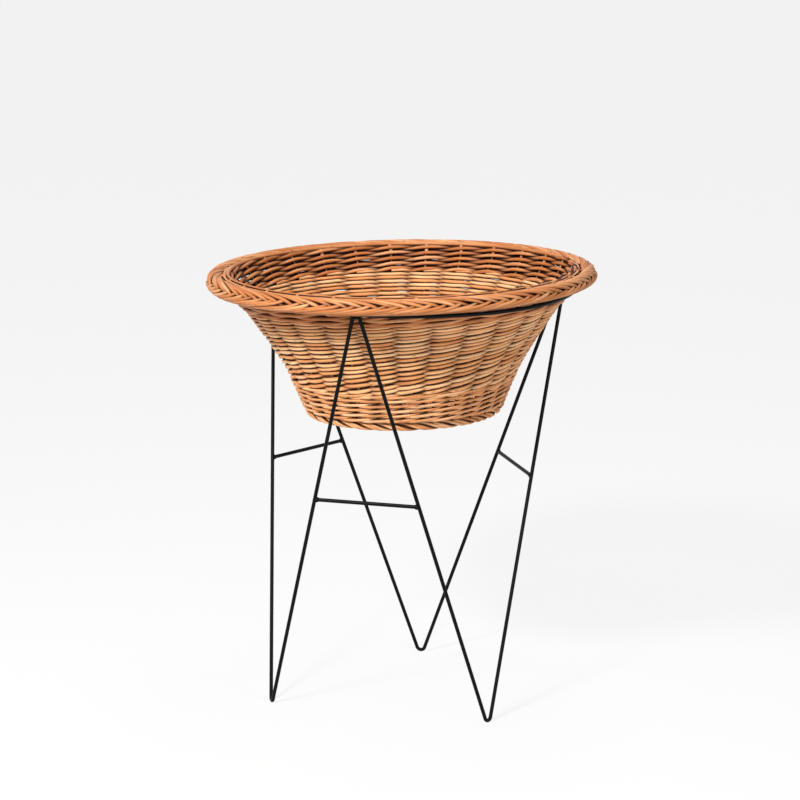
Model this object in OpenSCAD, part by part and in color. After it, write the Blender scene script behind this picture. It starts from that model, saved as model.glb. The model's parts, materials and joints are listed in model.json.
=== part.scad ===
// Round willow basket hung by its border in a free-standing stand of bent steel rod.
// Three hairpin legs carry a ring, three crossbars tie the legs to each other,
// and the basket lifts straight up out of the ring.
// Millimetres, +Z up, origin on the floor under the middle of the ring.

/* [Ring] */
// Radius of the ring that carries the basket, to the middle of its rod
ring_r = 330; // [280:5:400]
// Height of the ring above the floor, to the middle of its rod
ring_z = 806; // [700:2:1000]
// Diameter of the ring's round rod
ring_rod_d = 7; // [6:0.5:10]

/* [Legs] */
// Diameter of the round rod of the legs
leg_rod_d = 7; // [6:0.5:9]
// Free gap between the two leg rods that meet under the ring
apex_gap = 2.6; // [1.5:0.1:12]
// Radius of the circle on which the three feet stand
foot_circle_r = 243; // [210:1:300]
// Radius of the bend at each foot, to the middle of the rod
foot_bend_r = 8; // [6:0.5:24]

/* [Crossbars] */
// Diameter of the round rod of the crossbars
crossbar_rod_d = 7; // [5:0.5:9]
// Height of the crossbars above the floor
crossbar_z = 441; // [300:1:600]

/* [Welds] */
// How far the weld under the ring stands proud of the leg rod
ring_weld_bead = 1.2; // [0.8:0.1:2]
// How far the weld at a crossbar's end stands proud of the crossbar
crossbar_weld_bead = 1.5; // [0.8:0.1:3]

/* [Basket hang] */
// How far the basket hangs out of level in its ring, in degrees
lean = 2; // [0:0.1:2.5]
// Direction of the basket's high side, in degrees from +X
lean_dir = -18; // [-180:1:180]
// How far the basket lies towards its high side in the ring
basket_shift = 6; // [5:0.25:8]
// Turn of the basket in its ring, which sets where the stakes stand, in degrees
basket_turn = 4; // [-6:1:6]
// Gap between the basket's border and the ring where the low side rests
seat_gap = 0.3; // [0.2:0.05:1]
// Gap between the ring and the basket's wall, square to the wall
wall_gap = 1.5; // [1:0.1:6]

/* [Basket wall] */
// Height of the wall's foot below the ring
wall_drop = 241; // [221:2:281]
// Height to which the wall runs above the ring, inside the border
wall_rise = 10; // [7:0.5:13]
// Radius of the wall at its foot, to the middle of the stakes
wall_foot_r = 181; // [160:1:215]
// Angle of the wall from upright at the ring
top_flare = 22; // [18:1:27]
// Angle of the wall from upright at its foot
foot_flare = 19; // [12:1:26]
// Length of wall over which the flare at the ring carries on
top_fullness = 63; // [43:1:83]
// Length of wall over which the flare at the foot carries on
foot_fullness = 132; // [82:1:142]
// Number of upright stakes round the basket
stake_count = 28; // [20:1:32]
// Diameter of a stake
stake_d = 6; // [4:0.5:8]
// Diameter of the willow rods woven round the stakes
weave_rod_d = 5.4; // [4:0.2:7]

/* [Weave bands] */
// Share of the wall's length taken by the heavy band at the top, in percent
top_wale_share = 16; // [10:1:22]
// Share of the wall's length taken by the heavy band at the foot, in percent
foot_wale_share = 20; // [12:1:28]
// Rounds of weave in the top band
top_wale_rounds = 4; // [3:1:5]
// Rounds of weave in the main side
side_rounds = 17; // [14:1:20]
// Rounds of weave in the foot band
foot_wale_rounds = 6; // [4:1:7]

/* [Borders] */
// Diameter of the plaited border's roll
border_d = 35; // [32:0.5:40]
// How far the middle of the border's roll stands outside the ring's rod on the low side
border_overhang = 11.7; // [10.5:0.1:13]
// Height of the middle of the border's roll above the ring's rod on the low side
border_up = 0; // [-1:0.25:2]
// Thickness of the bent stakes that lead from the wall into the border
border_neck = 15; // [10:0.5:18]
// Diameter of the rolled border round the basket's foot
foot_border_d = 17; // [12:0.5:22]

/* [Base] */
// Diameter of the sticks that cross in the base
base_stick_d = 7; // [5:0.5:8]
// Diameter of the thin rods woven between the base sticks
base_rod_d = 4; // [3:0.25:5]
// Radius of the open middle where the base sticks cross
base_cross_r = 38; // [34:1:60]
// Rounds of weave in the base
base_rounds = 12; // [8:1:16]
// Clearance of a stick or stake in its weave
stake_fit = 0.15; // [0.1:0.05:0.3]

/* [Hidden] */
$fn = 96;
APEX = [-90, 30, 150];
FOOT = [-30, 90, 210];
// sticks on each side of the middle one in a group
OUTER_STICKS = 3;
WALL_STEPS = 6;
// extra slant of the outer side of the border's hook, in degrees
HOOK_DRAFT = 1;
// a bent rod is this much thicker at its bends than along its runs
KNUCKLE = 1.03;
eps = 0.01;

BLACK = [0.05, 0.05, 0.055];
WILLOW = [0.82, 0.58, 0.38];
WILLOW_DARK = [0.70, 0.45, 0.27];
WILLOW_PALE = [0.88, 0.67, 0.47];

// how far the middle of a crossbar's weld stands off the leg's rod
bead_offset = 0.6;

// Stand: places of the rods' middles

// half of the spacing between the two leg rods under the ring
apex_half = (leg_rod_d + apex_gap) / 2;
apex_turn = asin(apex_half / ring_r);

// in a leg's own frame the foot lies towards +X and the leg is symmetric about Y = 0
ring_x = ring_r * cos(60 - apex_turn);
ring_y = ring_r * sin(60 - apex_turn);

// the plane of the hairpin leans in from the foot to the ring
leg_run = foot_circle_r - ring_x;
leg_rise = ring_z - leg_rod_d / 2;
leg_lean = atan2(leg_run, leg_rise);
hairpin_h = norm([leg_run, leg_rise]) - foot_bend_r;
leg_splay = atan2(ring_y, hairpin_h) - asin(foot_bend_r / norm([ring_y, hairpin_h]));

// a point of the hairpin's plane, across and up from the lowest point of the bend's middle line
function hairpin_point(across, up) = [
    foot_circle_r - up * sin(leg_lean),
    across,
    leg_rod_d / 2 + up * cos(leg_lean)
];
function bend_end(side) = hairpin_point(
    side * foot_bend_r * cos(leg_splay),
    foot_bend_r * (1 - sin(leg_splay))
);
function ring_end(side) = [ring_x, side * ring_y, ring_z];

// the point a given distance short of b on the way from a to b
function short_of(a, b, gap) = b - gap * (b - a) / norm(b - a);

// the leg's rod stops under the ring's rod, at a gap that its weld fills
rod_end_gap = (ring_rod_d + leg_rod_d * sin(leg_splay)) / 2 + 0.1;
function rod_top(side) = short_of(bend_end(side), ring_end(side), rod_end_gap);

// where a crossbar meets a leg's rod, in the leg's own frame and in the crossbar's own frame
bar_share = (crossbar_z - bend_end(1)[2]) / (ring_z - bend_end(1)[2]);
bar_meet = bend_end(1) + bar_share * (ring_end(1) - bend_end(1));
bar_r = bar_meet[0] * cos(60) + bar_meet[1] * sin(60);
bar_half = bar_meet[0] * sin(60) - bar_meet[1] * cos(60);
function bar_end(side) = [bar_r, side * bar_half, crossbar_z];

// Basket: the wall's middle line as a curve in the plane of radius and height

skin_inset = 0.2;
wall_half = stake_d / 2 + stake_fit + skin_inset + weave_rod_d;
// the leaning, shifted ring meets the flared wall at another height on each side
flare_room = ring_r * sin(lean) * tan(top_flare);
ring_level_r = ring_r + flare_room - abs(flare_room - basket_shift)
    - (ring_rod_d / 2 + wall_gap + wall_half) / cos(top_flare);
wall_curve = [
    [ring_level_r + wall_rise * tan(top_flare), wall_rise],
    [ring_level_r - top_fullness * sin(top_flare), -top_fullness * cos(top_flare)],
    [wall_foot_r + foot_fullness * sin(foot_flare), foot_fullness * cos(foot_flare) - wall_drop],
    [wall_foot_r, -wall_drop]
];
function curve_point(t) = (1 - t) ^ 3 * wall_curve[0] + 3 * t * (1 - t) ^ 2 * wall_curve[1]
    + 3 * t ^ 2 * (1 - t) * wall_curve[2] + t ^ 3 * wall_curve[3];
// the stakes are straight between these points of the curve, and the weave follows them
STAKE_LINE = [for (i = [0 : WALL_STEPS]) curve_point(i / WALL_STEPS)];
function wall_mid(t) = let (i = min(floor(t * WALL_STEPS + eps), WALL_STEPS - 1), f = t * WALL_STEPS - i)
    (1 - f) * STAKE_LINE[i] + f * STAKE_LINE[i + 1];
function wall_slope(t) = 3 * (1 - t) ^ 2 * (wall_curve[1] - wall_curve[0])
    + 6 * t * (1 - t) * (wall_curve[2] - wall_curve[1])
    + 3 * t ^ 2 * (wall_curve[3] - wall_curve[2]);
// unit vector square to the wall, pointing out of the basket
function wall_out(t) = let (s = wall_slope(t)) [-s[1], s[0]] / norm(s);
function wall_point(t, out) = wall_mid(t) + out * wall_out(t);

top_wale_end = top_wale_share / 100;
foot_wale_start = 1 - foot_wale_share / 100;

// the ring's rod on the low side, where the border hooks over it
seat_r = ring_r + basket_shift;
border_r = seat_r + border_overhang;
foot_border_r = wall_foot_r - foot_border_d * 0.22;
foot_border_z = -wall_drop - foot_border_d * 0.4;

base_z = foot_border_z;
stick_rim_r = foot_border_r - foot_border_d / 2 - stake_fit;
// the base's woven rods lie this far above and below the middle of the sticks
base_rod_up = base_stick_d / 2 + stake_fit + skin_inset + base_rod_d / 2;
// the outermost round of the base lies against the foot border
last_round_r = foot_border_r
    - sqrt(max(1, ((foot_border_d + base_rod_d) / 2 + stake_fit) ^ 2 - base_rod_up ^ 2));
stick_spacing = base_stick_d + 0.4;
sticks_per_group = 2 * OUTER_STICKS + 1;
spoke_turn = 360 / (4 * sticks_per_group);

// Shared shapes

// round rod from point a to point b
module rod(a, b, d) {
    run = b - a;
    translate(a)
        rotate([0, acos(run[2] / norm(run)), atan2(run[1], run[0])])
            cylinder(d = d, h = norm(run));
}

// round rod through a list of points, with a slight round knuckle at each inner point
module bent_rod(points, d) {
    last = len(points) - 1;
    for (i = [0 : last - 1]) rod(points[i], points[i + 1], d);
    for (i = [1 : 1 : last - 1]) translate(points[i]) sphere(d = d * KNUCKLE);
}

module ring_rod() {
    translate([0, 0, ring_z])
        rotate_extrude($fn = 360) translate([ring_r, 0]) circle(d = ring_rod_d);
}

// Stand

// one hairpin leg of a single bent rod, in its own frame
module leg_rods() {
    for (side = [-1, 1]) {
        rod(bend_end(side), rod_top(side), leg_rod_d);
        translate(bend_end(side)) sphere(d = leg_rod_d * KNUCKLE);
    }
    arc = 180 - 2 * leg_splay;
    translate(hairpin_point(0, foot_bend_r))
        rotate([0, -leg_lean, 0]) rotate([0, 90, 0]) rotate(-arc / 2)
            rotate_extrude(angle = arc) translate([foot_bend_r, 0]) circle(d = leg_rod_d);
}

module leg(i) color(BLACK) rotate(FOOT[i]) leg_rods();

// the straight stretches of the two leg rods that meet under the ring, in the crossbar's own frame
module apex_rods() {
    for (side = [-1, 1]) rotate(side * 60) rod(bend_end(-side), rod_top(-side), leg_rod_d);
}

// a crossbar lies square to +X in its own frame, and its ends are cut to the leg rods' round
module crossbar(i) {
    inset = leg_rod_d / 5;
    color(BLACK) rotate(APEX[i]) difference() {
        rod(short_of(bar_end(1), bar_end(-1), inset), short_of(bar_end(-1), bar_end(1), inset),
            crossbar_rod_d);
        apex_rods();
    }
}

// weld beads round the two rod ends under the ring
module ring_weld(i) {
    color(BLACK) rotate(APEX[i]) difference() {
        for (side = [-1, 1]) rotate(side * 60)
            translate(rod_top(-side)) sphere(d = leg_rod_d + 2 * ring_weld_bead);
        ring_rod();
        apex_rods();
    }
}

// weld beads round the crossbar's two ends
module bar_weld(i) {
    color(BLACK) rotate(APEX[i]) difference() {
        for (side = [-1, 1])
            translate(short_of(bar_end(-side), bar_end(side), leg_rod_d / 2 + bead_offset))
                sphere(d = crossbar_rod_d + 2 * crossbar_weld_bead);
        union() {
            rod(bar_end(-1), bar_end(1), crossbar_rod_d);
            apex_rods();
        }
    }
}

// Basket

// tips the basket about the point where the low side of its border rests on the ring
module hang() {
    translate([0, 0, ring_z]) rotate(lean_dir) translate([-ring_r, 0, 0]) rotate([0, -lean, 0])
        translate([seat_r, 0, 0]) rotate(basket_turn - lean_dir) children();
}

module side_stakes() {
    color(WILLOW_PALE) hang() for (k = [0 : stake_count - 1])
        rotate(k * 360 / stake_count) bent_rod([for (p = STAKE_LINE) [p[0], 0, p[1]]], stake_d);
}

// a skin of woven rounds on one side of the stakes: out is 1 outside them and -1 inside them
module woven_skin(t0, t1, rounds, out) {
    near = stake_d / 2 + stake_fit;
    far = near + weave_rod_d * 0.4;
    inward = min(out * near, out * far);
    outward = max(out * near, out * far);
    ts = concat([t0], [for (i = [1 : WALL_STEPS - 1]) if (i > t0 * WALL_STEPS + eps
        && i < t1 * WALL_STEPS - eps) i / WALL_STEPS], [t1]);
    last = len(ts) - 1;
    rotate_extrude() {
        polygon(concat(
            [for (t = ts) wall_point(t, inward)],
            [for (i = [last : -1 : 0]) wall_point(ts[i], outward)]
        ));
        for (i = [0 : rounds - 1])
            translate(wall_point(t0 + (t1 - t0) * (i + 0.5) / rounds,
                out * (near + skin_inset + weave_rod_d / 2))) circle(d = weave_rod_d);
    }
}

module top_wale(out) color(WILLOW) hang() woven_skin(0, top_wale_end, top_wale_rounds, out);

module side_weave(out) color(WILLOW) hang()
    woven_skin(top_wale_end, foot_wale_start, side_rounds, out);

module foot_wale(out) color(WILLOW_DARK) hang()
    woven_skin(foot_wale_start, 1, foot_wale_rounds, out);

// rolled border round the rim, with the bent stakes that lead into it from the wall's top;
// it hooks over the ring, and the hook opens downwards so that the basket lifts straight out
module border_plait() {
    hook = ring_rod_d / 2 + seat_gap - eps;
    neck_foot = wall_point(0, border_neck / 2);
    color(WILLOW_DARK) hang() rotate_extrude() difference() {
        union() {
            translate([border_r, border_up]) circle(d = border_d);
            polygon([
                wall_point(0, -border_neck / 2),
                neck_foot,
                [seat_r, 0],
                [border_r, border_up],
                [border_r, border_up + border_d / 2 - eps]
            ]);
        }
        translate([seat_r, 0]) circle(r = hook);
        polygon([
            neck_foot,
            [seat_r, 0],
            [seat_r + hook, 0],
            [seat_r + hook + border_d * tan(lean + HOOK_DRAFT), -border_d],
            [neck_foot[0] - border_neck, -border_d]
        ]);
    }
}

module foot_border() {
    color(WILLOW_DARK) hang() rotate_extrude() difference() {
        translate([foot_border_r, foot_border_z]) circle(d = foot_border_d);
        translate(wall_mid(1)) rotate(-foot_flare) translate([-foot_border_d * 2, 0])
            square([foot_border_d * 4, foot_border_d]);
    }
}

// Base

// a group of sticks laid side by side along X, drawn as a cross with spokes that fan out from it
module stick_group(level) {
    lift = base_z + level * (base_stick_d + stake_fit) / 2;
    for (j = [-OUTER_STICKS : OUTER_STICKS]) {
        turn = j * spoke_turn;
        end_x = base_cross_r * cos(turn) - stake_fit;
        rod([-end_x, j * stick_spacing, lift], [end_x, j * stick_spacing, lift], base_stick_d);
        for (side = [0, 180]) rotate(side + turn)
            rod([base_cross_r, 0, base_z], [stick_rim_r, 0, base_z], base_stick_d);
    }
}

module base_sticks_lower() color(WILLOW_PALE) hang() stick_group(-1);

module base_sticks_upper() color(WILLOW_PALE) hang() rotate(90) stick_group(1);

// rounds of thin rods above and below the sticks, from the cross out to the foot border
module base_weave() {
    web = base_rod_d / 2 + skin_inset;
    first_round_r = base_cross_r + base_rod_d;
    color(WILLOW) hang() for (level = [-1, 1]) rotate_extrude() {
        translate([first_round_r, base_z + (level > 0 ? base_rod_up - web : -base_rod_up)])
            square([last_round_r - first_round_r, web]);
        for (i = [0 : base_rounds - 1])
            translate([
                first_round_r + (last_round_r - first_round_r) * i / (base_rounds - 1),
                base_z + level * base_rod_up
            ]) circle(d = base_rod_d);
    }
}

color(BLACK) ring_rod();  // ring_hoop
leg(0);  // leg_right
leg(1);  // leg_rear
leg(2);  // leg_left
crossbar(0);  // crossbar_front
crossbar(1);  // crossbar_right
crossbar(2);  // crossbar_left
ring_weld(0);  // ring_weld_front
ring_weld(1);  // ring_weld_right
ring_weld(2);  // ring_weld_left
bar_weld(0);  // bar_weld_front
bar_weld(1);  // bar_weld_right
bar_weld(2);  // bar_weld_left
border_plait();
top_wale(1);  // top_wale_outer
top_wale(-1);  // top_wale_inner
side_weave(1);  // side_weave_outer
side_weave(-1);  // side_weave_inner
foot_wale(1);  // foot_wale_outer
foot_wale(-1);  // foot_wale_inner
foot_border();
side_stakes();
base_sticks_lower();
base_sticks_upper();
base_weave();
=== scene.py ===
"""A willow basket in a black rod stand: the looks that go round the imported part.

The sizes in capitals are the construction's own, in millimetres. Paths are worked out in the
basket's own frame, with the ring's middle at the origin. Then they are hung in the ring and turned
into metres.
"""

import json
import math

import bpy
import numpy as np
from mathutils import Matrix

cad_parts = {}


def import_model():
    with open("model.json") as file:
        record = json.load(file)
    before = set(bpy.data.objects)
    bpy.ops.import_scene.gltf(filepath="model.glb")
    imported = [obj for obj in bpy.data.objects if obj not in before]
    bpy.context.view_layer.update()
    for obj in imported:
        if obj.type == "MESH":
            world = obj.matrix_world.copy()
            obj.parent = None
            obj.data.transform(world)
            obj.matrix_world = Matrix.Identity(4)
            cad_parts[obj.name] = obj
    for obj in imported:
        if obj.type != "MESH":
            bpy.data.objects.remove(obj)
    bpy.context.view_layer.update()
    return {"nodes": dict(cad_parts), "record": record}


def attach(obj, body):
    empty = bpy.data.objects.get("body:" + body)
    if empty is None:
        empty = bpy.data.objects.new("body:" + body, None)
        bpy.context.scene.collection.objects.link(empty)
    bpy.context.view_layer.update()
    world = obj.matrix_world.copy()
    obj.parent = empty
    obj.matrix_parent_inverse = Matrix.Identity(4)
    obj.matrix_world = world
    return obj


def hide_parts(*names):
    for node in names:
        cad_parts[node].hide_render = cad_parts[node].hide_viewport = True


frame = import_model()

MM = 0.001
TAU = 2 * math.pi

# The stand and the basket as they are built
RING_R = 330.0
RING_Z = 806.0
RING_ROD_D = 7.0
LEAN = 2.0
LEAN_DIR = -18.0
BASKET_SHIFT = 6.0
BASKET_TURN = 4.0
WALL_GAP = 1.5
WALL_DROP = 241.0
WALL_RISE = 10.0
WALL_FOOT_R = 181.0
TOP_FLARE = 22.0
FOOT_FLARE = 19.0
TOP_FULLNESS = 63.0
FOOT_FULLNESS = 132.0
STAKES = 28
STAKE_D = 6.0
SKIN = 0.35
WEAVE_ROD_D = 5.4
BORDER_D = 35.0
BORDER_OVERHANG = 11.7
BORDER_UP = 0.0
FOOT_BORDER_D = 17.0
BASE_STICK_D = 7.0
BASE_ROD_D = 4.0
BASE_CROSS_R = 38.0
BASE_ROUNDS = 12


# Node trees


class Value:
    """A socket that takes part in Python arithmetic, adding Math nodes as it goes."""

    def __init__(self, tree, socket):
        self.tree = tree
        self.socket = socket

    def _math(self, operation, *values):
        return self.tree.node("ShaderNodeMath", {"operation": operation}, *values).out()

    def __add__(self, other):
        return self._math("ADD", self, other)

    def __radd__(self, other):
        return self._math("ADD", other, self)

    def __sub__(self, other):
        return self._math("SUBTRACT", self, other)

    def __rsub__(self, other):
        return self._math("SUBTRACT", other, self)

    def __mul__(self, other):
        return self._math("MULTIPLY", self, other)

    def __rmul__(self, other):
        return self._math("MULTIPLY", other, self)

    def __gt__(self, other):
        return self._math("GREATER_THAN", self, other)

    def sine(self):
        return self._math("SINE", self)

    def cosine(self):
        return self._math("COSINE", self)


class Made:
    """A node that has been added, whose outputs are asked for by name or place."""

    def __init__(self, tree, node):
        self.tree = tree
        self.node = node

    def out(self, key=0):
        return Value(self.tree, self.node.outputs[key])


class Nodes:
    """A shader or geometry tree, with one method that adds any node to it."""

    def __init__(self, tree):
        self.tree = tree

    def node(self, kind, settings=None, *values, **named):
        made = self.tree.nodes.new(kind)
        for key, setting in (settings or {}).items():
            if key == "stops":
                ramp = made.color_ramp
                while len(ramp.elements) < len(setting):
                    ramp.elements.new(0.5)
                for stop, (place, colour) in zip(ramp.elements, setting):
                    stop.position = place
                    stop.color = colour
            else:
                setattr(made, key, setting)
        for key, value in list(enumerate(values)) + list(named.items()):
            socket = made.inputs[key.replace("_", " ") if isinstance(key, str) else key]
            self.put(socket, value)
        return Made(self, made)

    def put(self, socket, value):
        if isinstance(value, Value):
            self.tree.links.new(value.socket, socket)
        else:
            socket.default_value = value

    def attribute(self, name):
        return self.node("ShaderNodeAttribute", {"attribute_name": name}).out("Fac")

    def noise(self, place, detail, roughness, scale=1.0):
        return self.node("ShaderNodeTexNoise", None, Vector=place, Scale=scale, Detail=detail,
                         Roughness=roughness).out("Fac")

    def ramp(self, share, *stops):
        return self.node("ShaderNodeValToRGB", {"stops": stops}, share).out("Color")

    def mix(self, share, first, second, how="MIX"):
        """Two colours mixed. The node's colour sockets share their names, so they go by place."""
        made = self.node("ShaderNodeMix", {"data_type": "RGBA", "blend_type": how})
        for index, value in ((0, share), (6, first), (7, second)):
            self.put(made.node.inputs[index], value)
        return made.out(2)


# Materials


def new_material(name):
    material = bpy.data.materials.new(name)
    material.use_nodes = True
    shader = material.node_tree.nodes["Principled BSDF"]
    return material, Nodes(material.node_tree), shader


def rgb(red, green, blue):
    """A colour as it looks on a screen, 0 to 255, turned into the renderer's own values."""
    return tuple(
        c / 12.92 if c <= 0.04045 else ((c + 0.055) / 1.055) ** 2.4
        for c in (red / 255, green / 255, blue / 255)
    ) + (1.0,)


WHITE = (1.0, 1.0, 1.0, 1.0)
BLACK = (0.0, 0.0, 0.0, 1.0)
BUD_SCAR = rgb(112, 62, 30)
CUT_END = rgb(236, 204, 158)
FIBRE_SHADE = (0.66, 0.56, 0.48, 1.0)
FIBRE_GLEAM = (1.10, 1.08, 1.05, 1.0)
FIBRE_SHARE = 0.75
# The painted shade that the willow's colour is darkened towards where a rod lies deep in the weave
DEEP_SHADE = (0.06, 0.024, 0.012, 1.0)


def willow(name, dark, mid, pale):
    """Peeled willow: own tone for each rod, long fibres, soft patches, bud scars, painted shade
    deep in the weave.
    """
    material, tree, shader = new_material(name)
    along = tree.attribute("along")
    around = tree.attribute("around")
    tone = tree.attribute("tone")
    cut = tree.attribute("cut_end")
    depth = tree.attribute("depth")
    side = (around * TAU).cosine()
    face = (around * TAU).sine()

    def on_rod(round_scale, long_scale, shift):
        """A place on the rod's skin, shifted by its tone, so that no two rods look the same."""
        return tree.node("ShaderNodeCombineXYZ", None, side * round_scale, face * round_scale,
                         along * long_scale + tone * shift).out()

    patches = tree.noise(on_rod(0.5, 14.0, 311.0), detail=3.0, roughness=0.55)
    fibres = tree.noise(on_rod(4.5, 55.0, 97.0), detail=4.0, roughness=0.6)
    buds = tree.node("ShaderNodeTexVoronoi", {"feature": "F1"}, Vector=on_rod(0.6, 26.0, 53.0),
                     Scale=1.0, Randomness=1.0).out("Distance")
    scar = tree.ramp(buds, (0.06, WHITE), (0.15, BLACK))
    grain = tree.ramp(fibres, (0.30, FIBRE_SHADE), (0.52, WHITE), (0.75, FIBRE_GLEAM))

    body = tree.ramp(tone * 0.36 + patches * 0.66 + 0.02, (0.12, dark), (0.48, mid), (0.86, pale))
    body = tree.mix(FIBRE_SHARE, body, grain, "MULTIPLY")
    body = tree.mix(scar, body, BUD_SCAR)
    body = tree.mix(cut * 0.6, body, CUT_END)
    # painted shade: the colour darkens on flanks, crossings and rods behind others, where light
    # would not reach
    body = tree.mix(depth, body, DEEP_SHADE, "MULTIPLY")
    tree.put(shader.inputs["Base Color"], body)
    tree.put(shader.inputs["Roughness"], 0.40 + fibres * 0.22 + cut * 0.2 + depth * 0.3)
    bump = tree.node("ShaderNodeBump", None, Strength=0.45, Distance=0.0006,
                     Height=fibres * 0.7 + patches * 0.3)
    tree.put(shader.inputs["Normal"], bump.out("Normal"))
    shader.inputs["Specular IOR Level"].default_value = 0.24
    return material


def powder_coat():
    """Black powder coat on steel rod: satin, with a fine orange peel and a little dust."""
    material, tree, shader = new_material("black_powder_coat")
    place = tree.node("ShaderNodeTexCoord").out("Object")
    peel = tree.noise(place, detail=2.0, roughness=0.5, scale=1400.0)
    dust = tree.noise(place, detail=5.0, roughness=0.62, scale=38.0)
    colour = tree.ramp(dust, (0.35, rgb(3, 3, 4)), (0.75, rgb(9, 9, 10)))
    tree.put(shader.inputs["Base Color"], colour)
    tree.put(shader.inputs["Roughness"], 0.36 + dust * 0.16)
    bump = tree.node("ShaderNodeBump", None, Strength=0.35, Distance=0.00025, Height=peel)
    tree.put(shader.inputs["Normal"], bump.out("Normal"))
    shader.inputs["Specular IOR Level"].default_value = 0.11
    return material


WEAVE = willow("willow_weave", rgb(190, 110, 54), rgb(236, 162, 102), rgb(255, 212, 162))
BAND = willow("willow_band", rgb(180, 105, 52), rgb(221, 151, 96), rgb(250, 203, 158))
PLAIT = willow("willow_plait", rgb(152, 79, 33), rgb(196, 123, 70), rgb(236, 180, 130))
STICK = willow("willow_stick", rgb(180, 112, 60), rgb(216, 152, 98), rgb(238, 190, 140))
COAT = powder_coat()


# Rods along paths


def rod_tree():
    """Turns each path of a curve object into a round rod that keeps its length, turn and tone."""
    group = bpy.data.node_groups.new("willow_rods", "GeometryNodeTree")
    face = group.interface
    face.new_socket("Paths", in_out="INPUT", socket_type="NodeSocketObject")
    face.new_socket("Sides", in_out="INPUT", socket_type="NodeSocketInt")
    face.new_socket("Unevenness", in_out="INPUT", socket_type="NodeSocketFloat")
    face.new_socket("Seed", in_out="INPUT", socket_type="NodeSocketInt")
    face.new_socket("Material", in_out="INPUT", socket_type="NodeSocketMaterial")
    face.new_socket("Geometry", in_out="OUTPUT", socket_type="NodeSocketGeometry")
    tree = Nodes(group)
    given = tree.node("NodeGroupInput")

    def keep(geometry, value, name, domain):
        return tree.node(
            "GeometryNodeStoreNamedAttribute", {"data_type": "FLOAT", "domain": domain},
            Geometry=geometry, Name=name, Value=value,
        ).out("Geometry")

    def kept(name):
        return tree.node("GeometryNodeInputNamedAttribute", {"data_type": "FLOAT"}, name).out()

    # each path gets a tone of its own, and each point its length along the path
    paths = tree.node("GeometryNodeObjectInfo", None, given.out("Paths")).out("Geometry")
    length = tree.node("GeometryNodeSplineParameter")
    tone = tree.node("FunctionNodeRandomValue", {"data_type": "FLOAT"},
                     ID=tree.node("GeometryNodeInputIndex").out("Index"), Seed=given.out("Seed"))
    rods = keep(paths, tone.out(1), "tone", "CURVE")
    rods = keep(rods, length.out("Length"), "along", "POINT")

    # a rod gets a little thicker and thinner along its length, and no two in the same places
    waves = tree.node("ShaderNodeTexNoise", {"noise_dimensions": "1D"},
                      W=kept("along") * 22.0 + kept("tone") * 400.0, Scale=1.0, Detail=1.0)
    thickness = tree.node("GeometryNodeInputRadius").out()
    rods = tree.node(
        "GeometryNodeSetCurveRadius", None, Curve=rods,
        Radius=thickness * (1 + (waves.out("Fac") - 0.5) * given.out("Unevenness")),
    ).out("Curve")
    ring = tree.node("GeometryNodeCurvePrimitiveCircle", {"mode": "RADIUS"},
                     Resolution=given.out("Sides"), Radius=1.0).out("Curve")
    ring = keep(ring, length.out("Factor"), "around", "POINT")
    mesh = tree.node("GeometryNodeCurveToMesh", None, Curve=rods, Profile_Curve=ring,
                     Scale=tree.node("GeometryNodeInputRadius").out(), Fill_Caps=True).out("Mesh")

    # the cut ends stay flat: only they have more than four corners
    is_end = tree.node("GeometryNodeInputMeshFaceNeighbors").out("Vertex Count") > 4.5
    mesh = keep(mesh, is_end, "cut_end", "FACE")
    smooth = tree.node("GeometryNodeSetShadeSmooth", {"domain": "FACE"}, Geometry=mesh,
                       Shade_Smooth=1 - is_end).out()
    whole = tree.node("GeometryNodeRealizeInstances", None, smooth).out()
    done = tree.node("GeometryNodeSetMaterial", None, Geometry=whole,
                     Material=given.out("Material")).out()
    tree.node("NodeGroupOutput", None, done)
    return group


ROD_TREE = rod_tree()
SEAT_R = RING_R + BASKET_SHIFT


def hang_matrix():
    """Tips the basket about the point where the low side of its border rests on the ring."""
    turn = Matrix.Rotation(math.radians(LEAN_DIR), 4, "Z")
    tip = Matrix.Rotation(math.radians(-LEAN), 4, "Y")
    place = Matrix.Translation((0, 0, RING_Z)) @ turn @ Matrix.Translation((-RING_R, 0, 0)) @ tip
    return np.array(place @ Matrix.Translation((SEAT_R, 0, 0)) @ turn.inverted())


HANG = hang_matrix()


def hung(points):
    """Points of the basket's own frame, in millimetres, as places in the row frame, in metres."""
    return (points @ HANG[:3, :3].T + HANG[:3, 3]) * MM


def unhung(places):
    """Places in the row frame, in metres, as points of the basket's own frame, in millimetres."""
    return (places / MM - HANG[:3, 3]) @ HANG[:3, :3]


# Millimetres by which the flank of a rod counts as lying deeper than its crown, which gives its
# flanks painted shade
FLANK_SHADE_DEPTH = 4.5


def keep_painted_shade(mesh, stand_off, bare, buried):
    """Keeps how deep each point lies in the weave as painted shade: 0 on crowns, 1 where no light
    gets.

    stand_off tells how far points stand out of the weave's middle, and the way out there. A point
    that stands out by bare is a crown, and one that stands out by buried gets no light.
    """
    count = len(mesh.vertices)
    places, normals = np.empty(count * 3, np.float32), np.empty(count * 3, np.float32)
    mesh.vertices.foreach_get("co", places)
    mesh.vertices.foreach_get("normal", normals)
    out, way = stand_off(unhung(places.reshape(-1, 3).astype(float)))
    facing = (normals.reshape(-1, 3) @ HANG[:3, :3] * way).sum(axis=1)
    shown = np.sign(facing) * out - FLANK_SHADE_DEPTH * (1 - np.abs(facing))
    # the share of painted shade, which darkens the willow's colour
    depth = np.clip((bare - shown) / (bare - buried), 0, 1).astype(np.float32)
    mesh.attributes.new("depth", "FLOAT", "POINT").data.foreach_set("value", depth)


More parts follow.
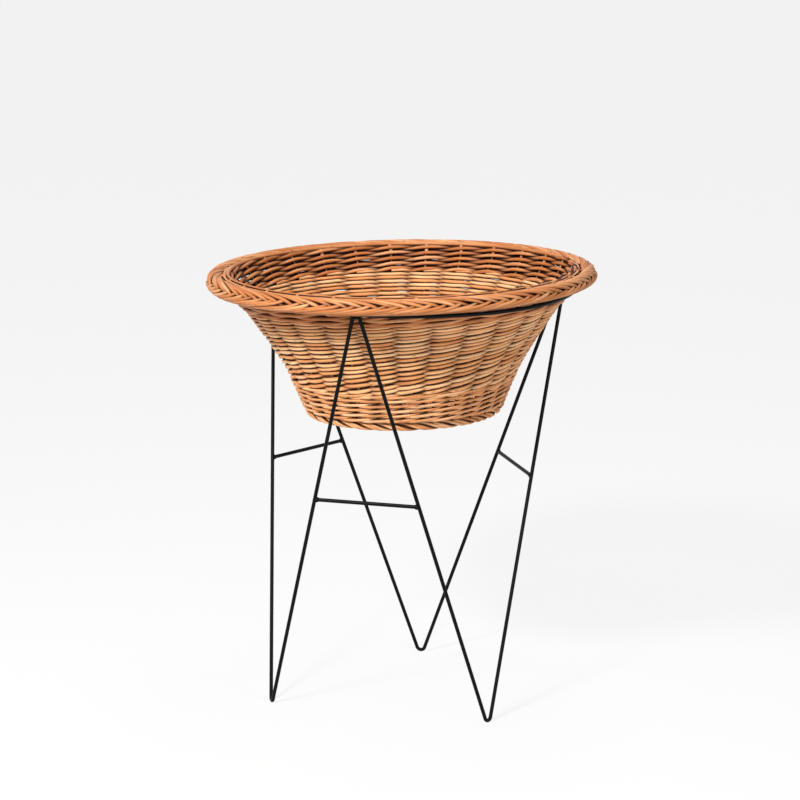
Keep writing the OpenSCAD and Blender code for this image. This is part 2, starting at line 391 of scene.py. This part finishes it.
def path_curve(name, paths):
    """A curve object with one open line for each path, whose thickness is kept as its radius."""
    curve = bpy.data.curves.new(name, "CURVE")
    curve.dimensions = "3D"
    for points, thick in paths:
        count = len(points)
        spline = curve.splines.new("POLY")
        spline.points.add(count - 1)
        places = np.ones((count, 4), np.float32)
        places[:, :3] = hung(np.asarray(points, float))
        spline.points.foreach_set("co", places.ravel())
        radius = np.broadcast_to(np.asarray(thick, float) * MM / 2, count).astype(np.float32)
        spline.points.foreach_set("radius", radius)
    return bpy.data.objects.new(name, curve)


def rods(name, paths, material, slot, replaces, depth, seed, sides=12, uneven=0.10):
    """One piece of the basket: each path is (points, thickness), depth tells how its painted shade
    is measured.
    """
    guide = path_curve(name + "_paths", paths)
    carrier = bpy.data.objects.new(name + "_carrier", bpy.data.meshes.new(name + "_carrier"))
    for helper in (guide, carrier):
        bpy.context.scene.collection.objects.link(helper)
    modifier = carrier.modifiers.new("rods", "NODES")
    modifier.node_group = ROD_TREE
    settings = {"Paths": guide, "Sides": sides, "Unevenness": uneven, "Seed": seed,
                "Material": material}
    for item in ROD_TREE.interface.items_tree:
        if item.in_out == "INPUT":
            modifier[item.identifier] = settings[item.name]
    graph = bpy.context.evaluated_depsgraph_get()
    mesh = bpy.data.meshes.new_from_object(carrier.evaluated_get(graph))
    mesh.name = name
    keep_painted_shade(mesh, *depth)
    piece = bpy.data.objects.new(name, mesh)
    bpy.context.scene.collection.objects.link(piece)
    for helper in (carrier, guide):
        bpy.data.objects.remove(helper)
    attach(piece, "basket")
    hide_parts(*replaces)


# Places in the basket

# Places all the way round the basket, in stakes
ALL_ROUND = np.arange(0, STAKES + 0.01, 0.2)


def tan(degrees):
    return math.tan(math.radians(degrees))


def stake_angle(turn):
    """The angle round the basket at a turn counted in stakes."""
    return np.radians(BASKET_TURN) + np.asarray(turn, float) * TAU / STAKES


def round_axis(r, angle, z):
    return np.stack([r * np.cos(angle), r * np.sin(angle), z], axis=1)


def from_axis(points, across, up):
    """Directions that point across away from the basket's axis and up along it."""
    r = np.hypot(points[:, 0], points[:, 1])
    return np.stack([points[:, 0] / r * across, points[:, 1] / r * across, up], axis=1)


def laid_out(corners, places, wanted):
    """Points at the wanted places of the line whose corners lie at the given places."""
    return np.stack([np.interp(wanted, places, corners[:, c]) for c in range(3)], axis=1)


def eased(points, times):
    """The same points with their bends softened, the two ends kept."""
    for _ in range(times):
        points[1:-1] = (points[:-2] + 2 * points[1:-1] + points[2:]) / 4
    return points


def cyclic(keys, x):
    """A smooth wave through evenly spaced keys that repeats every 1 of x."""
    keys = np.asarray(keys, float)
    n = len(keys)
    p = np.asarray(x, float) * n
    i = np.floor(p).astype(int)
    f = p - i
    a, b, c, d = (keys[(i + k) % n] for k in (-1, 0, 1, 2))
    return b + 0.5 * f * (c - a + f * (2 * a - 5 * b + 4 * c - d + f * (3 * (b - c) + d - a)))


def crown(x, sharpness=1.6):
    """A wave of 1 to -1 that stays long on its crowns and crosses over fast."""
    return np.tanh(sharpness * np.cos(np.pi * x)) / math.tanh(sharpness)


def drift(rng, x, size, spacing):
    """Slow, smooth unevenness along x."""
    places = np.arange(x[0] - 2 * spacing, x[-1] + 3 * spacing, spacing)
    values = rng.normal(0, size, len(places))
    fine = np.interp(x, places, values)
    width = max(3, int(len(x) * spacing / max(x[-1] - x[0], spacing) / 2) | 1)
    kernel = np.hanning(width + 2)
    padded = np.pad(fine, width // 2 + 1, "edge")
    return np.convolve(padded, kernel / kernel.sum(), "valid")[: len(x)]


# The wall's outline

WALL_HALF = STAKE_D / 2 + SKIN + WEAVE_ROD_D
FLARE_ROOM = RING_R * math.sin(math.radians(LEAN)) * tan(TOP_FLARE)
LEVEL_R = (RING_R + FLARE_ROOM - abs(FLARE_ROOM - BASKET_SHIFT)
           - (RING_ROD_D / 2 + WALL_GAP + WALL_HALF) / math.cos(math.radians(TOP_FLARE)))
OUTLINE_POINTS = 400


def wall_outline():
    """Radius and height of close points on the stakes' middle line, and their length down it."""
    top, foot = math.radians(TOP_FLARE), math.radians(FOOT_FLARE)
    corners = np.array([
        [LEVEL_R + WALL_RISE * tan(TOP_FLARE), WALL_RISE],
        [LEVEL_R - TOP_FULLNESS * math.sin(top), -TOP_FULLNESS * math.cos(top)],
        [WALL_FOOT_R + FOOT_FULLNESS * math.sin(foot), FOOT_FULLNESS * math.cos(foot) - WALL_DROP],
        [WALL_FOOT_R, -WALL_DROP],
    ])
    t = np.linspace(0, 1, OUTLINE_POINTS)[:, None]
    line = ((1 - t) ** 3 * corners[0] + 3 * t * (1 - t) ** 2 * corners[1]
            + 3 * t ** 2 * (1 - t) * corners[2] + t ** 3 * corners[3])
    steps = np.hypot(*np.diff(line, axis=0).T)
    return line, np.concatenate([[0], np.cumsum(steps)])


OUTLINE, DOWN = wall_outline()
WALL_LENGTH = DOWN[-1]
WALL_SLOPE = np.gradient(OUTLINE, axis=0)
WALL_SLOPE /= np.linalg.norm(WALL_SLOPE, axis=1)[:, None]


def on_wall(turn, down, out):
    """Points at a turn in stakes, a length down the wall and a distance out of its middle line."""
    down = np.asarray(down, float)
    r, z = (np.interp(down, DOWN, OUTLINE[:, c]) for c in (0, 1))
    slope_r, slope_z = (np.interp(down, DOWN, WALL_SLOPE[:, c]) for c in (0, 1))
    beyond = np.maximum(down - WALL_LENGTH, 0) + np.minimum(down, 0)
    r = r + slope_r * beyond - slope_z * out
    z = z + slope_z * beyond + slope_r * out
    return round_axis(r, stake_angle(turn), z)


def down_at(depth):
    """Length down the wall at a depth below the ring."""
    return float(np.interp(-depth, OUTLINE[::-1, 1], DOWN[::-1]))


def off_wall(points):
    """How far points stand out of the wall's middle line, and the way out there."""
    r, z = np.hypot(points[:, 0], points[:, 1]), points[:, 2]
    line = OUTLINE[::-1]
    slope = np.interp(z, line[:, 1], np.gradient(line[:, 0], line[:, 1]))
    across = 1 / np.sqrt(1 + slope ** 2)
    out = (r - np.interp(z, line[:, 1], line[:, 0])) * across
    return out, from_axis(points, across, -slope * across)


# How the weave's painted shade is measured: off the wall's middle line, crowns at 5.3 mm, full
# shade at 0.6 mm
WEAVE_PAINTED_SHADE = (off_wall, 5.3, 0.6)


# The weave

TOP_BAND_END = down_at(41)
FOOT_BAND_START = down_at(186)
STAKE_TOP_D, STAKE_FOOT_D = 5.4, 6.6
WEAVE_SAMPLES = 8

# The randing: its rounds, their pitch and its rods' thickness, at the foot and at the top
RANDING_ROUNDS = 17
RANDING_PITCH = (11.2, 6.8)
RANDING_ROD_D = (8.9, 7.0)
RANDING_OUT = STAKE_D / 2 + 0.4

# How far a rod of the randing has climbed beyond its steady climb, in rounds, over two stakes: it
# climbs fastest where it passes in front of a stake
RANDING_CLIMB = [0.0, 0.10, 0.15, 0.05, -0.13, -0.18, -0.13, -0.07]

# A rod of the waling over three stakes: it lies in front of two and behind the third, and rises
# from under the other two rods to over them
WALING_OUT = [1.0, 1.04, 1.0, 0.0, -1.0, 0.0]
WALING_RISE = [-1.0, -0.65, 0.1, 0.85, 0.3, -0.75]
WALING_OVERLAP = 0.6


def side_stakes():
    """The upright stakes that the weave goes round, a little thinner at the top."""
    rng = np.random.default_rng(5)
    paths = []
    for k in range(STAKES):
        down = np.arange(-2, WALL_LENGTH + 6, 6.0)
        place = on_wall(k + drift(rng, down, 0.02, 60), down, drift(rng, down, 0.25, 50))
        paths.append((place, np.interp(down, [0, WALL_LENGTH], [STAKE_TOP_D, STAKE_FOOT_D])))
    rods("upright_stakes", paths, STICK, "willow_stake", ["side_stakes"], WEAVE_PAINTED_SHADE, seed=9,
         uneven=0.08)


def randing():
    """The main side: each rod goes before one stake and behind the next, a round up each time."""
    rng = np.random.default_rng(11)
    low, high = RANDING_PITCH
    passed = 2 * RANDING_ROUNDS
    scale = (FOOT_BAND_START - TOP_BAND_END) / (RANDING_ROUNDS * (low + high) / 2)
    paths = []
    for k in range(STAKES):
        u = np.arange(-0.95, passed + 1.1, 1 / WEAVE_SAMPLES)
        climbed = u / 2 + cyclic(RANDING_CLIMB, u / 2) + rng.normal(0, 0.04)
        climbed = climbed + drift(rng, u, 0.07, 1.0)
        up = scale * (low * climbed - (low - high) / passed * climbed ** 2)
        thick = np.interp(u, [0, passed], RANDING_ROD_D) * rng.uniform(0.94, 1.05)
        thick = thick * (0.98 + 0.02 * np.cos(TAU * u))
        place = on_wall(k + u + drift(rng, u, 0.03, 1.5), FOOT_BAND_START - up,
                        RANDING_OUT * crown(u) + drift(rng, u, 0.3, 1.0))
        paths.append((place, thick))
    rods("side_randing", paths, WEAVE, "willow_weave", ["side_weave_outer", "side_weave_inner"],
         WEAVE_PAINTED_SHADE, seed=3, sides=10, uneven=0.12)


def waling(name, node, start, stop, rounds, rod_d, lift, material, slot, seed):
    """A band of three rods, each worked in two lengths, that take turns round the basket."""
    rng = np.random.default_rng(seed)
    pitch = (stop - start) / rounds
    half = rounds * STAKES / 2
    out = STAKE_D / 2 + rod_d / 2
    paths = []
    for k in range(3):
        for part in range(2):
            u = np.arange(part * half - WALING_OVERLAP, (part + 1) * half + WALING_OVERLAP,
                          1 / WEAVE_SAMPLES)
            down = stop - (u / STAKES + 0.5) * pitch - cyclic(WALING_RISE, u / 3) * lift
            thick = rod_d * rng.uniform(0.92, 1.05)
            place = on_wall(u + k, down + drift(rng, u, 0.35, 1.2),
                            out * cyclic(WALING_OUT, u / 3) + drift(rng, u, 0.3, 1.0))
            paths.append((place, thick))
    rods(name, paths, material, slot, [node + "_outer", node + "_inner"], WEAVE_PAINTED_SHADE, seed=seed,
         uneven=0.12)


# The borders

BORDER_R = SEAT_R + BORDER_OVERHANG
ROLL_ROOM = 0.7
FOOT_R = WALL_FOOT_R - FOOT_BORDER_D * 0.22
FOOT_Z = -WALL_DROP - FOOT_BORDER_D * 0.4


def off_roll(radius, height):
    """A measure of how far points stand off a rolled border's middle, and the way out there."""
    def measure(points):
        across = np.hypot(points[:, 0], points[:, 1]) - radius
        up = points[:, 2] - height
        reach = np.hypot(across, up)
        return reach, from_axis(points, across / reach, up / reach)
    return measure


def on_roll(turn, roll, reach, radius, height, flat=0):
    """Points round a rolled border, its underside pressed flatter by the share flat.

    roll is in degrees from straight outwards, upwards positive.
    """
    up = np.sin(np.radians(roll))
    r = radius + reach * np.cos(np.radians(roll))
    return round_axis(r, stake_angle(turn), height + reach * up * (1 - flat * (up < 0)))


# How the borders' painted shade is measured: off the middle of each rolled border
BORDER_PAINTED_SHADE = (off_roll(BORDER_R, BORDER_UP), 14.6, 9.6)
FOOT_BORDER_PAINTED_SHADE = (off_roll(FOOT_R, FOOT_Z), 6.4, 2.6)

# One run of a border rod: place along the border in stakes, roll in degrees and reach. It goes
# over from the inside, down through the plait, out below, up along the outside and in again
PLAIT_STEPS = np.array([
    (0.08, 147, 14.6), (0.50, 124, 14.3), (0.95, 98, 14.2), (1.40, 68, 14.1), (1.72, 45, 13.2),
    (1.90, 29, 10.8), (2.04, 4, 8.4), (2.20, -45, 9.0), (2.36, -82, 11.6), (2.60, -90, 14.0),
    (3.20, -60, 14.2), (3.80, -31, 14.2), (4.25, -8, 14.1), (4.50, 8, 13.3), (4.63, 22, 11.4),
    (4.76, 52, 8.8), (4.88, 100, 9.0),
])
PLAIT_RUN = 5
PLAIT_SAMPLES = 14
PLAIT_ROD_D = (7.3, 5.8)

# Stakes between two rods that lie side by side: a rod moves over by as much in each run
PLAIT_LANE = 0.335

# How much flatter the border's underside is pressed at its high side
PRESSED = 0.46

# The core under the plait: its rods' rolls, their twist in degrees for each stake, reach, thickness
CORE_ROLLS = (20, 140, 260)
CORE_TWIST = 360 / 7
CORE_REACH = 3.6
CORE_ROD_D = 6.4

# The rods between the plait and the wall: distance in from the roll, height and thickness
LINING = ((24.5, 12.6, 6.8), (18.6, 10.0, 6.4), (14.6, 4.4, 6.2))

# A rod of the foot border: its roll at the start and how far it rolls down and under, in degrees,
# the stakes that it passes, the stakes between the two of a pair, and its reach and thickness
FOOT_ROLL = 138
FOOT_SWEEP = 296
FOOT_RUN = 2.43
FOOT_MATE = 0.36
FOOT_REACH = 4.2
FOOT_ROD_D = 5.6
FOOT_CORE_D = 6.0


def plait_shape(s):
    """Roll and reach at a place along a border rod, smoothed, the same in each run."""
    places = np.concatenate([PLAIT_STEPS[:, 0] + turn * PLAIT_RUN for turn in (-1, 0, 1)])
    fine = np.linspace(-1, PLAIT_RUN + 1, 100 * (PLAIT_RUN + 2) + 1)
    kernel = np.hanning(27)
    kernel /= kernel.sum()
    found = []
    for column in (1, 2):
        values = np.tile(PLAIT_STEPS[:, column], 3)
        curve = np.convolve(np.interp(fine, places, values), kernel, "same")
        found.append(np.interp(np.mod(s, PLAIT_RUN), fine, curve))
    return found


def bent_from_stake(k, place, thick):
    """A border rod that first comes up the wall as a stake and bends over into the border."""
    stake = on_wall([k, k, k + 0.03], [18, 6, -4], [0.0, 0.0, 1.0])
    corners = np.concatenate([stake, place[:1]])
    bend = laid_out(corners, np.linspace(0, 1, 4), np.linspace(0, 1, 14))[:-1]
    place = eased(np.concatenate([bend, place]), 4)
    return place, np.concatenate([np.full(len(bend), thick[0]), thick])


def border_plait():
    """The plaited border: each stake turns down into it, and its bye-stake lies beside it."""
    rng = np.random.default_rng(21)
    paths = []
    for k in range(STAKES):
        for bye in (False, True):
            start = rng.uniform(0.10, 0.22) if bye else 0.16
            s = np.arange(start, PLAIT_RUN * (1 if bye else 2) - 0.3, 1 / PLAIT_SAMPLES)
            roll, reach = plait_shape(s)
            lane = PLAIT_LANE * ((1 if bye else 0) - s / PLAIT_RUN)
            turn = k + s + lane + rng.normal(0, 0.025)
            roll = roll + drift(rng, s, 4.0, 0.8) + rng.normal(0, 2.5)
            reach = reach + drift(rng, s, 0.9, 0.7)
            thick = np.interp(s, [0, 2 * PLAIT_RUN], PLAIT_ROD_D) * rng.uniform(0.90, 1.06)
            reach = np.minimum(reach, BORDER_D / 2 - ROLL_ROOM - thick / 2)
            high = 0.5 + 0.5 * np.cos(stake_angle(turn) - math.radians(LEAN_DIR))
            place = on_roll(turn, roll, reach, BORDER_R, BORDER_UP, PRESSED * high ** 1.4)
            paths.append((place, thick) if bye else bent_from_stake(k, place, thick))
    for roll in CORE_ROLLS:
        core = on_roll(ALL_ROUND, roll + ALL_ROUND * CORE_TWIST, CORE_REACH, BORDER_R, BORDER_UP)
        paths.append((core, CORE_ROD_D))
    for inward, up, thick in LINING:
        r = BORDER_R - inward + drift(rng, ALL_ROUND, 0.4, 0.7)
        z = up + drift(rng, ALL_ROUND, 0.3, 0.7)
        paths.append((round_axis(r, ALL_ROUND * TAU / STAKES, z), thick))
    rods("border_plait_rods", paths, PLAIT, "willow_border", ["border_plait"], BORDER_PAINTED_SHADE,
         seed=8)


def foot_border():
    """The rolled foot border: pairs of rods wind down and under, each over the next."""
    rng = np.random.default_rng(31)
    paths = []
    for k in range(STAKES):
        for mate in (0, 1):
            s = np.arange(0, 1.01, 0.032)
            roll = FOOT_ROLL - FOOT_SWEEP * s + 9 * np.sin(TAU * s)
            reach = FOOT_REACH + 1.4 * np.sin(np.pi * np.clip(s * 1.1, 0, 1)) + mate * 0.05
            turn = k + mate * FOOT_MATE + FOOT_RUN * s + rng.normal(0, 0.03)
            thick = FOOT_ROD_D * rng.uniform(0.93, 1.05)
            place = on_roll(turn, roll + rng.normal(0, 3), reach, FOOT_R, FOOT_Z)
            paths.append((place, thick))
    core = on_roll(ALL_ROUND, 0 * ALL_ROUND, 0.0, FOOT_R, FOOT_Z)
    paths.append((core, FOOT_CORE_D))
    rods("foot_border_rods", paths, BAND, "willow_band", ["foot_border"], FOOT_BORDER_PAINTED_SHADE,
         seed=12)


# The base

OUTER_STICKS = 3
STICK_SPACING = BASE_STICK_D + 0.4
STICK_RIM_R = FOOT_R - FOOT_BORDER_D / 2 + 2
BASE_RIM_R = FOOT_R - 5.6

# Shares of the cross's radius at which its sticks begin and end their bend into the fan
BEND_IN, BEND_OUT = 0.72, 1.25

# Millimetres by which one of the two twined rods keeps out from the other where they cross
TWINE_ASIDE = 0.8


def off_base(points):
    """How far points stand off the base's middle plane, and the way there."""
    return points[:, 2] - FOOT_Z, np.array([0.0, 0.0, 1.0])


# How the base's painted shade is measured: off its middle plane
BASE_PAINTED_SHADE = (off_base, 4.5, -1.0)


def stick_line(j, level):
    """One stick of the cross, which lies along X and fans out beyond the cross."""
    turn = math.radians(j * 360 / STAKES)
    cos, sin = math.cos(turn), math.sin(turn)
    aside, up = j * STICK_SPACING, level * BASE_STICK_D / 2
    half = [
        [STICK_RIM_R * cos, STICK_RIM_R * sin, 0],
        [BASE_CROSS_R * cos * BEND_OUT, BASE_CROSS_R * sin * BEND_OUT, 0],
        [BASE_CROSS_R * cos * BEND_IN, aside, up],
    ]
    corners = np.array([[-x, y, z] for x, y, z in half] + [[0, aside, up]] + half[::-1])
    steps = np.linalg.norm(np.diff(corners, axis=0), axis=1)
    along = np.concatenate([[0], np.cumsum(steps)])
    return eased(laid_out(corners, along, np.linspace(0, along[-1], 90)), 6)


def base_sticks(level, name, node, seed):
    """Seven sticks side by side, below the seven that cross them or above."""
    rng = np.random.default_rng(seed)
    cos, sin = math.cos(math.radians(BASKET_TURN)), math.sin(math.radians(BASKET_TURN))
    turned = np.array([[cos, sin, 0], [-sin, cos, 0], [0, 0, 1]])
    paths = []
    for j in range(-OUTER_STICKS, OUTER_STICKS + 1):
        line = stick_line(j, level)
        if level > 0:
            line = line[:, [1, 0, 2]] * [-1, 1, 1]
        thick = BASE_STICK_D * rng.uniform(0.9, 1.02)
        paths.append((line @ turned + [0, 0, FOOT_Z], thick))
    rods(name, paths, STICK, "willow_stake", [node], BASE_PAINTED_SHADE, seed=seed, uneven=0.08)


def base_rounds():
    """Two rods twined together over and under the sticks, round after round."""
    rng = np.random.default_rng(41)
    up = BASE_STICK_D / 2 + BASE_ROD_D / 2
    first = BASE_CROSS_R + BASE_ROD_D / 2
    rounds = 2 * BASE_ROUNDS - 1
    pitch = (BASE_RIM_R - first) / (rounds - 1)
    paths = []
    for pair in range(rounds):
        for mate in (0, 1):
            u = np.arange(-0.3, STAKES + 0.8, 1 / 7)
            r = first + pitch * (pair + np.clip(u / STAKES, 0, 1) * 0.96 - 0.5)
            side = np.sin(np.pi * (u + mate)) * TWINE_ASIDE
            r = np.clip(r + side + drift(rng, u, 0.3, 1.0), BASE_CROSS_R - 1, BASE_RIM_R)
            z = FOOT_Z + up * crown(u + mate, 1.2) * 0.98
            thick = BASE_ROD_D * rng.uniform(1.05, 1.2)
            paths.append((round_axis(r, stake_angle(u), z), thick))
    rods("base_twined_rods", paths, BAND, "willow_weave", ["base_weave"], BASE_PAINTED_SHADE, seed=15,
         sides=9)


side_stakes()
randing()
# The top waling takes the darker plait willow: painted shade for the shadow that the border casts
# on it
waling("top_waling", "top_wale", start=4.2, stop=TOP_BAND_END + 4, rounds=5, rod_d=6.7, lift=3.2,
       material=PLAIT, slot="willow_weave", seed=17)
waling("foot_waling", "foot_wale", start=FOOT_BAND_START - 2, stop=WALL_LENGTH + 3, rounds=6,
       rod_d=5.6, lift=3.0, material=BAND, slot="willow_band", seed=18)
border_plait()
foot_border()
base_sticks(-1, "base_sticks_under", "base_sticks_lower", 51)
base_sticks(1, "base_sticks_over", "base_sticks_upper", 52)
base_rounds()


# The stand

for member in frame["record"]["behaviour"]["bodies"]["stand"]:
    finish = frame["nodes"][member].data.materials
    finish.clear()
    finish.append(COAT)


# Floor, light and camera

FLOOR_REACH = 40.0
FLOOR_GREY = (0.86, 0.86, 0.86, 1.0)
FLOOR_GLOW = 0.86
WORLD_LIGHT = 0.15
LIT_PLACE = (0, 0, 0.7)

# The photograph's viewpoint, found by fitting the stand's rods and the ring to it: metres from the
# stand, to its side and up, degrees down, round and rolled, and pixels of focal length
CAMERA_DISTANCE = 4.6935
CAMERA_ASIDE = 0.0052
CAMERA_HEIGHT = 0.5795
CAMERA_DOWN = 13.23
CAMERA_ROUND = 12.88
CAMERA_ROLL = 0.75
CAMERA_FOCUS = 2487.36
PHOTO_WIDTH = 800
SENSOR_WIDTH = 36.0


def seen_directly(tree):
    """1 for what the camera sees, directly, in a gloss or through glass."""
    path = tree.node("ShaderNodeLightPath")
    return path.out("Is Camera Ray") + path.out("Is Glossy Ray") + path.out("Is Transmission Ray")


def floor():
    mesh = bpy.data.meshes.new("studio_floor")
    corners = [(x * FLOOR_REACH, y * FLOOR_REACH, 0)
               for x, y in ((-1, -1), (1, -1), (1, 1), (-1, 1))]
    mesh.from_pydata(corners, [], [(0, 1, 2, 3)])
    made = bpy.data.objects.new("studio_floor", mesh)
    bpy.context.scene.collection.objects.link(made)
    material, tree, shader = new_material("pale_floor")
    shader.inputs["Base Color"].default_value = FLOOR_GREY
    shader.inputs["Roughness"].default_value = 0.9
    glow = tree.node("ShaderNodeEmission", None, Color=WHITE, Strength=1.0).out()
    mixed = tree.node("ShaderNodeMixShader", None, seen_directly(tree) * FLOOR_GLOW,
                      Value(tree, shader.outputs[0]), glow).out()
    tree.put(material.node_tree.nodes["Material Output"].inputs["Surface"], mixed)
    mesh.materials.append(material)


def world():
    made = bpy.data.worlds.new("studio")
    made.use_nodes = True
    made.node_tree.nodes.clear()
    tree = Nodes(made.node_tree)
    soft, white = (tree.node("ShaderNodeBackground", None, Color=WHITE, Strength=strength).out()
                   for strength in (WORLD_LIGHT, 1.0))
    mixed = tree.node("ShaderNodeMixShader", None, seen_directly(tree), soft, white).out()
    tree.node("ShaderNodeOutputWorld", None, mixed)
    bpy.context.scene.world = made


def aimed(place, look_at):
    """A matrix at place whose -Z points at look_at and whose +Y is up."""
    back = np.subtract(place, look_at)
    back = back / np.linalg.norm(back)
    right = np.cross((0, 0, 1), back)
    right = right / np.linalg.norm(right)
    up = np.cross(back, right)
    matrix = Matrix.Identity(4)
    for column, axis in enumerate((right, up, back, place)):
        for row in range(3):
            matrix[row][column] = float(axis[row])
    return matrix


def soft_lamp(name, place, size, power):
    data = bpy.data.lights.new(name, "AREA")
    data.shape = "DISK"
    data.size = size
    data.energy = power
    lamp = bpy.data.objects.new(name, data)
    bpy.context.scene.collection.objects.link(lamp)
    lamp.matrix_world = aimed(place, LIT_PLACE)


def camera():
    down = math.radians(CAMERA_DOWN)
    spin = Matrix.Rotation(math.radians(CAMERA_ROUND), 4, "Z")
    roll = Matrix.Rotation(math.radians(CAMERA_ROLL), 4, "Z")
    place = spin @ Matrix.Translation((CAMERA_ASIDE, -CAMERA_DISTANCE * math.cos(down),
                                       CAMERA_HEIGHT + CAMERA_DISTANCE * math.sin(down)))
    target = spin @ Matrix.Translation((CAMERA_ASIDE, 0, CAMERA_HEIGHT))
    data = bpy.data.cameras.new("photo_camera")
    data.sensor_width = SENSOR_WIDTH
    data.lens = CAMERA_FOCUS / PHOTO_WIDTH * SENSOR_WIDTH
    data.clip_end = 200.0
    made = bpy.data.objects.new("photo_camera", data)
    bpy.context.scene.collection.objects.link(made)
    made.matrix_world = aimed(place.translation, target.translation) @ roll
    bpy.context.scene.camera = made


bpy.context.scene.view_settings.view_transform = "Standard"
floor()
world()
soft_lamp("key_softbox", (-1.1, -2.7, 2.9), 0.6, 165)
soft_lamp("fill_softbox", (2.8, -2.0, 1.8), 1.2, 34)
soft_lamp("top_softbox", (0.2, 0.6, 3.2), 1.0, 15)
camera()
